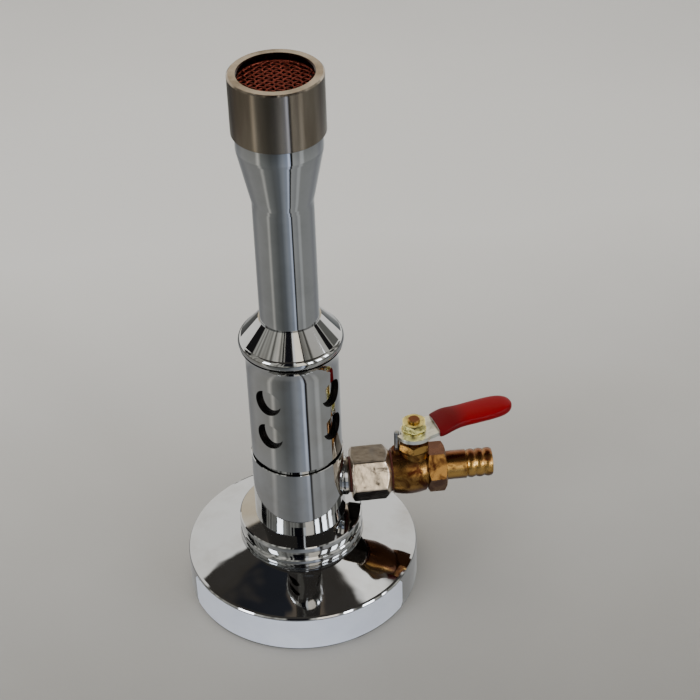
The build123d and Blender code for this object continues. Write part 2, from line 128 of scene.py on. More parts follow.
def shader_node(owner: bpy.types.ID, kind: str, settings: dict | None = None,
                inputs: dict | None = None,
                stops: Sequence[tuple[float, tuple]] = ()) -> bpy.types.Node:
    """Adds a shader node.

    Args:
        owner: the material or world that it goes into.
        kind: the node's type name.
        settings: attributes of the node, such as its operation.
        inputs: what its inputs are set or linked to, as feed takes them.
        stops: a colour ramp's (position, linear colour) pairs, lowest first.

    Returns:
        The new node.
    """
    node = owner.node_tree.nodes.new(kind)
    for name, value in (settings or {}).items():
        setattr(node, name, value)
    feed(owner, node, inputs or {})
    for k, (position, colour) in enumerate(stops):
        elements = node.color_ramp.elements
        if k < len(elements):
            elements[k].position = position
        element = elements[k] if k < len(elements) else elements.new(position)
        element.color = colour
    return node


def uneven(material: bpy.types.Material, place: bpy.types.NodeSocket, size_mm: float,
           height_mm: float, detail: float) -> bpy.types.NodeSocket:
    """Lets a surface rise and fall, as grain, polishing waves or orange peel do.

    Args:
        material: the material that it goes into.
        place: its Object coordinates.
        size_mm: how far apart the rises are.
        height_mm: how high they are.
        detail: how much finer structure they carry.

    Returns:
        The disturbed normal.
    """
    noise = shader_node(material, "ShaderNodeTexNoise", inputs={
        "Vector": place, "Scale": per_mm(size_mm), "Detail": detail})
    bump = shader_node(material, "ShaderNodeBump", inputs={
        "Height": noise.outputs["Fac"], "Strength": 1.0, "Distance": height_mm * MM})
    return bump.outputs["Normal"]


def inside_shade_mask(material: bpy.types.Material, skin_limit: float) -> bpy.types.NodeSocket:
    """Finds the faces of a turned piece that aren't its outer skin, where painted shade goes.

    Args:
        material: the material that it goes into.
        skin_limit: a face counts as inside where less than this share of its normal points away
            from the Z axis: NOT_SKIN or BORE_ALONE.

    Returns:
        A factor, 1 inside.
    """
    place = shader_node(material, "ShaderNodeTexCoord")
    flat = shader_node(material, "ShaderNodeVectorMath", {"operation": "MULTIPLY"},
                       {0: place.outputs["Object"], 1: (1.0, 1.0, 0.0)})
    out = shader_node(material, "ShaderNodeVectorMath", {"operation": "NORMALIZE"},
                      {0: flat.outputs["Vector"]})
    share = shader_node(material, "ShaderNodeVectorMath", {"operation": "DOT_PRODUCT"},
                        {0: out.outputs["Vector"], 1: place.outputs["Normal"]})
    inside = shader_node(material, "ShaderNodeMath", {"operation": "LESS_THAN"},
                         {0: share.outputs["Value"], 1: skin_limit})
    return inside.outputs["Value"]


def azimuth(owner: bpy.types.ID, axes: bpy.types.Node) -> bpy.types.NodeSocket:
    """Says how far a direction is turned from the front of the burner towards +X.

    Args:
        owner: the material or world.
        axes: the node that splits the direction into X, Y and Z.

    Returns:
        The angle in radians.
    """
    front = shader_node(owner, "ShaderNodeMath", {"operation": "MULTIPLY"},
                        {0: axes.outputs["Y"], 1: -1.0})
    turn = shader_node(owner, "ShaderNodeMath", {"operation": "ARCTAN2"},
                       {0: axes.outputs["X"], 1: front.outputs["Value"]})
    return turn.outputs["Value"]


# ---------------------------------------------------------------------------------------------
# Finishes
# ---------------------------------------------------------------------------------------------


@dataclass(frozen=True)
class Finish:
    """What every finish shares: its name and how it reaches the surface shader."""

    name: str

    def start(self) -> tuple[bpy.types.Material, bpy.types.Node, bpy.types.NodeSocket]:
        """Makes the empty material.

        Returns:
            The material, its Principled shader and its Object coordinate socket.
        """
        material = bpy.data.materials.new(self.name)
        material.use_nodes = True
        shader = material.node_tree.nodes["Principled BSDF"]
        place = shader_node(material, "ShaderNodeTexCoord")
        return material, shader, place.outputs["Object"]

    def build(self) -> bpy.types.Material:
        """Makes the material."""
        raise NotImplementedError


@dataclass(frozen=True)
class BrightChrome(Finish):
    """Decorative chromium over polished nickel: a blue-white mirror with faint polishing waves.

    A hand-polished piece is never quite true, so reflections wander a little, and handling leaves
    a film that dulls it in patches. Where a skin limit is set, bores and drilled walls are painted
    dark and dull: painted shade in these recesses.
    """

    tint: str = "#b3b5b7"
    film: str = "#a09f9c"
    roughness: float = 0.03
    film_roughness: float = 0.1
    wave_mm: float = 14.0
    wave_height_mm: float = 0.02
    film_mm: float = 22.0
    film_tone_span: tuple[float, float] = (0.45, 0.78)
    film_gloss_span: tuple[float, float] = (0.48, 0.8)
    # painted shade: the dark colour of bores and drilled walls
    inside: str = "#1d1a18"
    inside_roughness: float = 0.5
    skin_limit: float | None = None

    def build(self) -> bpy.types.Material:
        """Makes the material."""
        material, shader, place = self.start()
        film = shader_node(material, "ShaderNodeTexNoise", inputs={
            "Vector": place, "Scale": per_mm(self.film_mm), "Detail": 4.0, "Roughness": 0.62})
        colour, gloss = [
            shader_node(material, "ShaderNodeValToRGB", inputs={"Fac": film.outputs["Fac"]},
                        stops=list(zip(span, ends))).outputs["Color"]
            for span, ends in (
                (self.film_tone_span, (linear(self.tint), linear(self.film))),
                (self.film_gloss_span, (grey(self.roughness), grey(self.film_roughness))))]
        # bores and drilled walls are painted dark and dull: painted shade
        if self.skin_limit is not None:
            inside = inside_shade_mask(material, self.skin_limit)
            colour, gloss = [
                shader_node(material, "ShaderNodeMix", {"data_type": "RGBA"},
                            {0: inside, 6: skin, 7: bore_shade}).outputs[2]
                for skin, bore_shade in ((colour, linear(self.inside)),
                                   (gloss, grey(self.inside_roughness)))]
        feed(material, shader, {
            "Base Color": colour, "Roughness": gloss, "Metallic": 1.0,
            "Normal": uneven(material, place, self.wave_mm, self.wave_height_mm, 1.0)})
        return material


@dataclass(frozen=True)
class TurnedSteel(Finish):
    """Stainless steel off the lathe: fine grooves draw every reflection out along the axis.

    The head ring's colour is banded up its height: heat tint from the flame, and painted
    reflection streaks. Its bore carries painted shade.
    """

    tint: str = "#a1988b"
    # heat tint, and painted reflection streaks, laid in bands up the ring
    heat_and_streaks: str = "#6e6252"
    # painted shade: the dark colour of the bore
    bore_shade: str = "#241712"
    roughness: float = 0.17
    anisotropy: float = 0.9
    quarter_turn: float = 0.25    # lays the streaks along the axis
    groove_mm: float = 0.35
    groove_height_mm: float = 0.004
    band_mm: float = 9.0
    band_squash: float = 0.12     # heat tint and painted reflection streaks run up the ring
    heat_and_streak_span: tuple[float, float] = (0.38, 0.7)

    def build(self) -> bpy.types.Material:
        """Makes the material."""
        material, shader, place = self.start()
        # bands stretched up the ring: heat tint and painted reflection streaks
        stretched = shader_node(material, "ShaderNodeMapping", inputs={
            "Vector": place, "Scale": (1.0, 1.0, self.band_squash)})
        heat_and_streaks = shader_node(material, "ShaderNodeTexNoise", inputs={
            "Vector": stretched.outputs["Vector"], "Scale": per_mm(self.band_mm), "Detail": 5.0})
        heat_and_streak_tone = shader_node(
            material, "ShaderNodeValToRGB", inputs={"Fac": heat_and_streaks.outputs["Fac"]},
            stops=list(zip(self.heat_and_streak_span, (linear(self.tint), linear(self.heat_and_streaks)))))
        # the bore is painted dark: painted shade
        colour = shader_node(material, "ShaderNodeMix", {"data_type": "RGBA"}, {
            0: inside_shade_mask(material, BORE_ALONE), 6: heat_and_streak_tone.outputs["Color"],
            7: linear(self.bore_shade)})
        # lathe feed marks are finer than this, which is as fine as still shows
        grooves = shader_node(material, "ShaderNodeTexWave", {"bands_direction": "Z"}, {
            "Vector": place, "Scale": per_mm(self.groove_mm) / math.tau, "Distortion": 0.4,
            "Detail": 2.0})
        bump = shader_node(material, "ShaderNodeBump", inputs={
            "Height": grooves.outputs["Fac"], "Strength": 1.0,
            "Distance": self.groove_height_mm * MM})
        around = shader_node(material, "ShaderNodeTangent",
                             {"direction_type": "RADIAL", "axis": "Z"})
        feed(material, shader, {
            "Base Color": colour.outputs[2], "Normal": bump.outputs["Normal"],
            "Tangent": around.outputs["Tangent"], "Metallic": 1.0, "Roughness": self.roughness,
            "Anisotropic": self.anisotropy, "Anisotropic Rotation": self.quarter_turn})
        return material


@dataclass(frozen=True)
class WornMetal(Finish):
    """A metal with a second tone that gathers in patches, and a grain: brass, forged nickel, zinc.

    Where a top tone is set, faces that look up are painted darker: painted shade for the dark
    ceiling that they mirror. Where an underside tone is set, faces that look down are painted
    darker as painted shade.
    """

    tint: str = "#b58f50"
    stain: str = "#4a2414"
    stain_mm: float = 5.0
    stain_from: float = 0.5
    stain_to: float = 0.68
    roughness: float = 0.25
    stain_roughness: float = 0.45
    grain_mm: float = 0.8
    grain_height_mm: float = 0.02
    # painted shade: tones for the faces that look up and the faces that look down
    top_shade: str | None = None
    underside_shade: str | None = None

    def build(self) -> bpy.types.Material:
        """Makes the material."""
        material, shader, place = self.start()
        patches = shader_node(material, "ShaderNodeTexNoise", inputs={
            "Vector": place, "Scale": per_mm(self.stain_mm), "Detail": 6.0, "Roughness": 0.6,
            "Distortion": 0.6})
        colour, gloss = [
            shader_node(material, "ShaderNodeValToRGB", inputs={"Fac": patches.outputs["Fac"]},
                        stops=[(self.stain_from, clean), (self.stain_to, stained)]).outputs["Color"]
            for clean, stained in ((linear(self.tint), linear(self.stain)),
                                   (grey(self.roughness), grey(self.stain_roughness)))]
        # painted shade: tops and undersides darkened for how they face the room
        for tone, (start, full) in ((self.top_shade, LOOKS_UP), (self.underside_shade, LOOKS_DOWN)):
            if tone is not None:
                normal = shader_node(material, "ShaderNodeTexCoord").outputs["Normal"]
                axes = shader_node(material, "ShaderNodeSeparateXYZ", inputs={"Vector": normal})
                share = shader_node(material, "ShaderNodeMapRange", inputs={
                    "Value": axes.outputs["Z"], "From Min": start, "From Max": full})
                colour = shader_node(material, "ShaderNodeMix", {"data_type": "RGBA"}, {
                    0: share.outputs["Result"], 6: colour, 7: linear(tone)}).outputs[2]
        feed(material, shader, {
            "Base Color": colour, "Roughness": gloss, "Metallic": 1.0,
            "Normal": uneven(material, place, self.grain_mm, self.grain_height_mm, 3.0)})
        return material


@dataclass(frozen=True)
class PressedStock(Finish):
    """PTFE, fibre or coated paper: a dielectric with a soft grain and a little uneven colour."""

    tint: str
    shade: str
    patch_mm: float
    roughness: float
    grain_mm: float = 0.6
    grain_height_mm: float = 0.015
    shade_span: tuple[float, float] = (0.35, 0.75)

    def build(self) -> bpy.types.Material:
        """Makes the material."""
        material, shader, place = self.start()
        patches = shader_node(material, "ShaderNodeTexNoise", inputs={
            "Vector": place, "Scale": per_mm(self.patch_mm), "Detail": 5.0})
        colour = shader_node(
            material, "ShaderNodeValToRGB", inputs={"Fac": patches.outputs["Fac"]},
            stops=list(zip(self.shade_span, (linear(self.tint), linear(self.shade)))))
        feed(material, shader, {
            "Base Color": colour.outputs["Color"], "Roughness": self.roughness,
            "Normal": uneven(material, place, self.grain_mm, self.grain_height_mm, 2.0)})
        return material


@dataclass(frozen=True)
class DippedVinyl(Finish):
    """Vinyl that a hot plate was dipped into: glossy deep red, darker and browner towards the hub.
    """

    tint: str = "#760009"
    neck: str = "#58060b"
    neck_u: tuple[float, float] = (15.0, 20.0)    # from the stem's axis, along the lever
    roughness: float = 0.36
    specular: float = 0.1
    cloud_mm: float = 7.0
    cloud_share: float = 0.5
    orange_peel_mm: float = 2.2
    orange_peel_height_mm: float = 0.03

    def build(self) -> bpy.types.Material:
        """Makes the material."""
        material, shader, place = self.start()
        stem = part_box("valve_stem")
        centred = shader_node(material, "ShaderNodeMapping", inputs={
            "Vector": place,
            "Location": (-(stem[0].x + stem[1].x) / 2, -(stem[0].y + stem[1].y) / 2, 0)})
        flat = shader_node(material, "ShaderNodeVectorMath", {"operation": "MULTIPLY"},
                           {0: centred.outputs["Vector"], 1: (1.0, 1.0, 0.0)})
        along = shader_node(material, "ShaderNodeVectorMath", {"operation": "LENGTH"},
                            {0: flat.outputs["Vector"]})
        near, far = self.neck_u
        share = shader_node(material, "ShaderNodeMapRange", inputs={
            "Value": along.outputs["Value"], "From Min": near * MM, "From Max": far * MM})
        cloud = shader_node(material, "ShaderNodeTexNoise", inputs={
            "Vector": place, "Scale": per_mm(self.cloud_mm), "Detail": 4.0})
        worn = shader_node(material, "ShaderNodeMath", {"operation": "MULTIPLY_ADD"}, {
            0: cloud.outputs["Fac"], 1: self.cloud_share, 2: -self.cloud_share / 2})
        factor = shader_node(material, "ShaderNodeMath", {"operation": "ADD"}, {
            0: share.outputs["Result"], 1: worn.outputs["Value"]})
        colour = shader_node(
            material, "ShaderNodeValToRGB", inputs={"Fac": factor.outputs["Value"]},
            stops=[(0.0, linear(self.neck)), (1.0, linear(self.tint))])
        peel = uneven(material, place, self.orange_peel_mm, self.orange_peel_height_mm, 1.0)
        feed(material, shader, {
            "Base Color": colour.outputs["Color"], "Normal": peel, "Roughness": self.roughness,
            "Specular IOR Level": self.specular})
        return material


class Finishes:
    """One material of each finish, made once and shared."""

    def __init__(self) -> None:
        """Makes them all."""
        self.chrome = BrightChrome("chromium_plate_polished").build()
        # its bore carries painted shade
        self.barrel_chrome = BrightChrome(
            "chromium_plate_drawn_tube", tint="#aeb1b4", film="#9c9fa1", roughness=0.05,
            film_roughness=0.1, wave_height_mm=0.01, skin_limit=NOT_SKIN).build()
        # the foot is cast, so its polish is wavier than a turned tube's
        self.foot_chrome = BrightChrome(
            "chromium_plate_cast_foot", wave_mm=11.0, wave_height_mm=0.16).build()
        # its bore and drilled air holes carry painted shade
        self.sleeve_chrome = BrightChrome(
            "chromium_plate_drilled_sleeve", skin_limit=NOT_SKIN).build()
        self.stainless = TurnedSteel("stainless_steel_turned").build()
        # nickel over a rough forging stays matt and creamy, and grime sits in its pits;
        # tops and undersides get painted shade
        self.forged_nickel = WornMetal(
            "nickel_plate_on_forging", tint="#d9c9b4", stain="#4c453b", stain_mm=4.5,
            stain_from=0.54, stain_to=0.68, roughness=0.3, stain_roughness=0.5, grain_mm=1.1,
            grain_height_mm=0.05, top_shade="#75706a", underside_shade="#1b1713").build()
        # machined brass that has been handled: gold on the crests, brown-red where tarnished;
        # tops and undersides get painted shade
        self.brass = WornMetal(
            "brass_machined_tarnished", top_shade="#70472c", underside_shade="#4c2e18").build()
        # the valve body has seen more heat and hands than the tail, and is browner all over;
        # tops and undersides get painted shade
        self.brown_brass = WornMetal(
            "brass_body_browned", tint="#94703d", stain="#402010", stain_from=0.44, stain_to=0.6,
            top_shade="#5c3a26", underside_shade="#553420").build()
        self.zinc = WornMetal(
            "zinc_plate_clear", tint="#dfe2da", stain="#a9ab9c", stain_mm=6.0, roughness=0.3,
            stain_roughness=0.42, grain_mm=0.5, grain_height_mm=0.008).build()
        self.yellow_zinc = WornMetal(
            "zinc_plate_yellow", tint="#d6cc86", stain="#9a9058", stain_mm=2.5, roughness=0.25,
            stain_roughness=0.35, grain_mm=0.4, grain_height_mm=0.006).build()
        self.steel = WornMetal(
            "steel_bright_zinc", tint="#9da0a3", stain="#66686a", stain_mm=4.0, roughness=0.3,
            stain_roughness=0.4, grain_mm=0.5, grain_height_mm=0.008).build()
        # copper wire that the flame has reddened and sooted
        self.copper = WornMetal(
            "copper_wire_heated", tint="#8f4638", stain="#451b13", stain_mm=1.5, roughness=0.5,
            stain_roughness=0.6, grain_mm=0.3, grain_height_mm=0.008).build()
        self.vinyl = DippedVinyl("vinyl_dipped_red").build()
        self.paper = PressedStock(
            "label_stock_coated", tint="#dfe4ef", shade="#cfd5e3", patch_mm=16.0, roughness=0.5,
            grain_mm=0.5, grain_height_mm=0.01).build()
        self.fibre = PressedStock(
            "fibre_washer_pressed", tint="#5a2a22", shade="#3e1d18", patch_mm=3.0,
            roughness=0.7).build()
        self.ptfe = PressedStock(
            "ptfe_turned", tint="#e9e8e2", shade="#d8d6ce", patch_mm=4.0, roughness=0.4).build()


# ---------------------------------------------------------------------------------------------
# Mesh helpers
# ---------------------------------------------------------------------------------------------


def deselect() -> None:
    """Leaves nothing selected, so that an operator acts on the new piece alone."""
    if bpy.context.object is not None and bpy.context.object.mode != "OBJECT":
        bpy.ops.object.mode_set(mode="OBJECT")
    bpy.ops.object.select_all(action="DESELECT")


def activate(piece: bpy.types.Object) -> None:
    """Makes one object the only selected and the active one."""
    deselect()
    piece.select_set(True)
    bpy.context.view_layer.objects.active = piece


def settle(piece: bpy.types.Object) -> None:
    """Puts the piece's place into its mesh."""
    activate(piece)
    bpy.ops.object.transform_apply(location=True, rotation=True, scale=True)


def add_modifier(piece: bpy.types.Object, kind: str, **settings: object) -> None:
    """Adds a modifier with its settings and applies it.

    Args:
        piece: the object.
        kind: the modifier's type.
        settings: its attributes.
    """
    activate(piece)
    modifier = piece.modifiers.new(kind.lower(), kind)
    for name, value in settings.items():
        setattr(modifier, name, value)
    bpy.ops.object.modifier_apply(modifier=modifier.name)


def outward(piece: bpy.types.Object) -> None:
    """Merges doubles and turns every face outwards."""
    activate(piece)
    bpy.ops.object.mode_set(mode="EDIT")
    bpy.ops.mesh.select_all(action="SELECT")
    bpy.ops.mesh.remove_doubles(threshold=WELD * MM)
    bpy.ops.mesh.normals_make_consistent(inside=False)
    bpy.ops.object.mode_set(mode="OBJECT")


def smooth(piece: bpy.types.Object, degrees: float = CRISP_EDGES) -> None:
    """Shades smooth across edges flatter than DEGREES."""
    activate(piece)
    bpy.ops.object.shade_smooth_by_angle(angle=math.radians(degrees))


def dress(piece: bpy.types.Object, material: bpy.types.Material) -> None:
    """Gives the piece one material."""
    piece.data.materials.clear()
    piece.data.materials.append(material)


def dress_node(node: str, material: bpy.types.Material) -> None:
    """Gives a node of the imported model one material."""
    dress(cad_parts[node], material)
    log.info("node %s: %s", node, material.name)


def hand_over(piece: bpy.types.Object, body: Body, slot: str, *nodes: str) -> None:
    """Hangs a finished piece on its body in place of the nodes that it stands for.

    Args:
        piece: the finished object.
        body: what it moves with.
        slot: the record's material slot; not used.
        nodes: the nodes that it replaces.
    """
    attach(piece, body.value)
    if nodes:
        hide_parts(*nodes)
    log.info("piece %s on %s: %d faces", piece.name, body.value, len(piece.data.polygons))


def copy_of(node: str, name: str) -> bpy.types.Object:
    """Copies a node's mesh to a piece of its own and welds its loose triangles.

    Args:
        node: the node.
        name: the new piece's name.

    Returns:
        The new piece.
    """
    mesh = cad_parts[node].data.copy()
    piece = bpy.data.objects.new(name, mesh)
    bpy.context.scene.collection.objects.link(piece)
    activate(piece)
    bpy.ops.mesh.customdata_custom_splitnormals_clear()
    bpy.ops.object.mode_set(mode="EDIT")
    bpy.ops.mesh.select_all(action="SELECT")
    bpy.ops.mesh.remove_doubles(threshold=NODE_WELD * MM)
    bpy.ops.object.mode_set(mode="OBJECT")
    return piece


# ---------------------------------------------------------------------------------------------
# Sub-assemblies
# ---------------------------------------------------------------------------------------------


@dataclass
class Foot:
    """The weighted foot, the label on its wall, and the screw that holds the burner down."""

    label_steps: int = 72
    label_rows: int = 8
    label_thickness: float = 0.1
    label_gap: float = 0.004      # keeps the paper's back clear of the chrome
    label_corner: float = 1.2

    def label(self, finishes: Finishes) -> None:
        """Wraps a strip of paper round the wall, its four corners rounded."""
        low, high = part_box("base_label")
        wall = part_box("base_casting")[1].x
        corners = [v.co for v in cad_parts["base_label"].data.vertices]
        angles = [math.atan2(c.x, -c.y) for c in corners]
        first, last = min(angles), max(angles)
        height, corner = high.z - low.z, self.label_corner * MM
        deselect()
        bpy.ops.mesh.primitive_grid_add(x_subdivisions=self.label_steps,
                                        y_subdivisions=self.label_rows, size=1.0)
        strip = bpy.context.object
        strip.name = "label_strip"
        middle, half = (first + last) / 2, (last - first) / 2
        skin = wall + self.label_gap * MM
        for vertex in strip.data.vertices:
            across, rise = 2 * vertex.co.x, vertex.co.y * height
            past = max(0.0, abs(rise) - (height / 2 - corner))
            reach = half - (corner - math.sqrt(max(0.0, corner ** 2 - past ** 2))) / skin
            angle = middle + across * reach
            vertex.co = (skin * math.sin(angle), -skin * math.cos(angle),
                         (low.z + high.z) / 2 + rise)
        outward(strip)
        add_modifier(strip, "SOLIDIFY", thickness=self.label_thickness * MM, offset=1.0)
        smooth(strip)
        dress(strip, finishes.paper)
        hand_over(strip, Body.ROOT, "label_paper", "base_label")

    def build(self, finishes: Finishes) -> None:
        """Makes and dresses the foot."""
        dress_node("base_casting", finishes.foot_chrome)
        dress_node("base_collar", finishes.chrome)
        for node in ("base_screw", "base_washer"):
            dress_node(node, finishes.steel)
        self.label(finishes)


@dataclass
class BurnerTube:
    """Gas body, injector, mixing tube, turning air sleeve, shoulder and barrel."""

    def build(self, finishes: Finishes) -> None:
        """Dresses the tube's pieces."""
        for node in ("gas_body", "inner_tube", "barrel_shoulder"):
            dress_node(node, finishes.chrome)
        dress_node("air_sleeve", finishes.sleeve_chrome)
        dress_node("barrel", finishes.barrel_chrome)
        dress_node("gas_jet", finishes.brass)
        dress_node("jet_washer", finishes.fibre)


@dataclass
class Head:
    """The mouth: stainless ring, woven wire grid and the ring that keeps it in."""

    pitch: float = 2.0
    wire_r: float = 0.3
    crimp_share: float = 0.55    # rolled flat after weaving, so the wires bed into each other
    reach: float = 12.35
    sides: int = 8
    steps_per_pitch: int = 6
    turn: float = 45.0
    rim_r: float = 0.45
    rim_steps: int = 96
    rim_sides: int = 12

    def wire(self) -> bpy.types.Object:
        """Extrudes one crimped wire along X, long enough for the widest row.

        Returns:
            The wire, centred, with its crimp in Z.
        """
        deselect()
        length = 2 * self.reach + 2 * self.pitch
        step = self.pitch / self.steps_per_pitch
        count = math.ceil(length / step)
        start = -count * step / 2
        bpy.ops.mesh.primitive_circle_add(
            vertices=self.sides, radius=self.wire_r * MM, fill_type="NOTHING",
            location=(start * MM, 0, self.crimp(start) * MM), rotation=(0, math.pi / 2, 0))
        wire = bpy.context.object
        bpy.ops.object.mode_set(mode="EDIT")
        bpy.ops.mesh.select_all(action="SELECT")
        for k in range(count):
            here, there = start + k * step, start + (k + 1) * step
            move = (step * MM, 0, (self.crimp(there) - self.crimp(here)) * MM)
            bpy.ops.mesh.extrude_region_move(TRANSFORM_OT_translate={"value": move})
        bpy.ops.object.mode_set(mode="OBJECT")
        settle(wire)
        return wire

    def crimp(self, along: float) -> float:
        """Height of the wire's middle at a distance along it."""
        return self.crimp_share * self.wire_r * math.cos(math.pi * along / self.pitch)

    def weave(self) -> bpy.types.Object:
        """Copies the wire to both directions of the weave, each row cut to the round rim.

        Returns:
            All wires as one object, centred on the axis at zero height.
        """
        master = self.wire()
        rows = int(self.reach / self.pitch)
        copies = []
        for row in range(-rows, rows + 1):
            shift = row * self.pitch
            half = math.sqrt(self.reach ** 2 - shift ** 2)
            for direction in (0, 1):
                piece = master.copy()
                piece.data = master.data.copy()
                bpy.context.scene.collection.objects.link(piece)
                over = 1 if (row + direction) % 2 == 0 else -1
                piece.scale = (1, 1, over)
                piece.location = (0, shift * MM, 0)
                settle(piece)
                bpy.ops.object.mode_set(mode="EDIT")
                for side in (1, -1):
                    bpy.ops.mesh.select_all(action="SELECT")
                    bpy.ops.mesh.bisect(plane_co=(side * half * MM, 0, 0), plane_no=(side, 0, 0),
                                        use_fill=True, clear_outer=True)
                bpy.ops.object.mode_set(mode="OBJECT")
                piece.rotation_euler = (0, 0, math.radians(self.turn + 90 * direction))
                settle(piece)
                copies.append(piece)
        bpy.data.objects.remove(master)
        deselect()
        for piece in copies:
            piece.select_set(True)
        bpy.context.view_layer.objects.active = copies[0]
        bpy.ops.object.join()
        return bpy.context.object

    def rim(self) -> bpy.types.Object:
        """Turns the pressed rim that clamps the wires' ends."""
        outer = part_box("burner_grid")[1].x
        deselect()
        bpy.ops.mesh.primitive_torus_add(
            major_segments=self.rim_steps, minor_segments=self.rim_sides,
            major_radius=outer - self.rim_r * MM, minor_radius=self.rim_r * MM)
        ring = bpy.context.object
        settle(ring)
        return ring

    def build(self, finishes: Finishes) -> None:
        """Makes and dresses the head."""
        dress_node("head_ring", finishes.stainless)
        dress_node("grid_retaining_ring", finishes.steel)
        low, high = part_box("burner_grid")
        grid, ring = self.weave(), self.rim()
        deselect()
        ring.select_set(True)
        grid.select_set(True)
        bpy.context.view_layer.objects.active = grid
        bpy.ops.object.join()
        grid.name = "woven_grid"
        grid.location.z = (low.z + high.z) / 2
        settle(grid)
        outward(grid)
        smooth(grid, ROUND_EDGES)
        dress(grid, finishes.copper)
        hand_over(grid, Body.ROOT, "copper_wire", "burner_grid")


@dataclass
class GasValve:
    """Nipple, forged end cap, brass body with its ball and seats, gland and hose tail."""

    forging_voxel: float = 0.28
    forging_wave: float = 0.22
    forging_wave_size: float = 3.2
    forging_passes: int = 3
    forging_level: float = 0.62   # above the middle, so that the waves don't swell the cap

    def forging(self, finishes: Finishes) -> None:
        """Rounds the end cap off to a rough forging."""
        cap = copy_of("valve_end_cap", "forged_end_cap")
        add_modifier(cap, "REMESH", mode="VOXEL", voxel_size=self.forging_voxel * MM)
        add_modifier(cap, "SMOOTH", factor=0.5, iterations=self.forging_passes)
        clouds = bpy.data.textures.new("forging_clouds", "CLOUDS")
        clouds.noise_scale = self.forging_wave_size * MM
        clouds.noise_depth = 2
        add_modifier(cap, "DISPLACE", texture=clouds, texture_coords="LOCAL",
                     strength=self.forging_wave * MM, mid_level=self.forging_level)
        smooth(cap, ROUND_EDGES)
        dress(cap, finishes.forged_nickel)
        hand_over(cap, Body.ROOT, "nickel_plate", "valve_end_cap")

    def build(self, finishes: Finishes) -> None:
        """Makes and dresses the valve's fixed pieces and the ball."""
        for node in ("inlet_nipple", "gland_nut", "hose_tail", "valve_stem"):
            dress_node(node, finishes.brass)
        dress_node("valve_body", finishes.brown_brass)
        for node in ("nipple_washer", "cap_seal", "tail_seal"):
            dress_node(node, finishes.fibre)
        for node in ("ball_seat_inner", "ball_seat_outer", "stem_packing"):
            dress_node(node, finishes.ptfe)
        dress_node("valve_ball", finishes.chrome)
        dress_node("stop_pin", finishes.steel)
        self.forging(finishes)


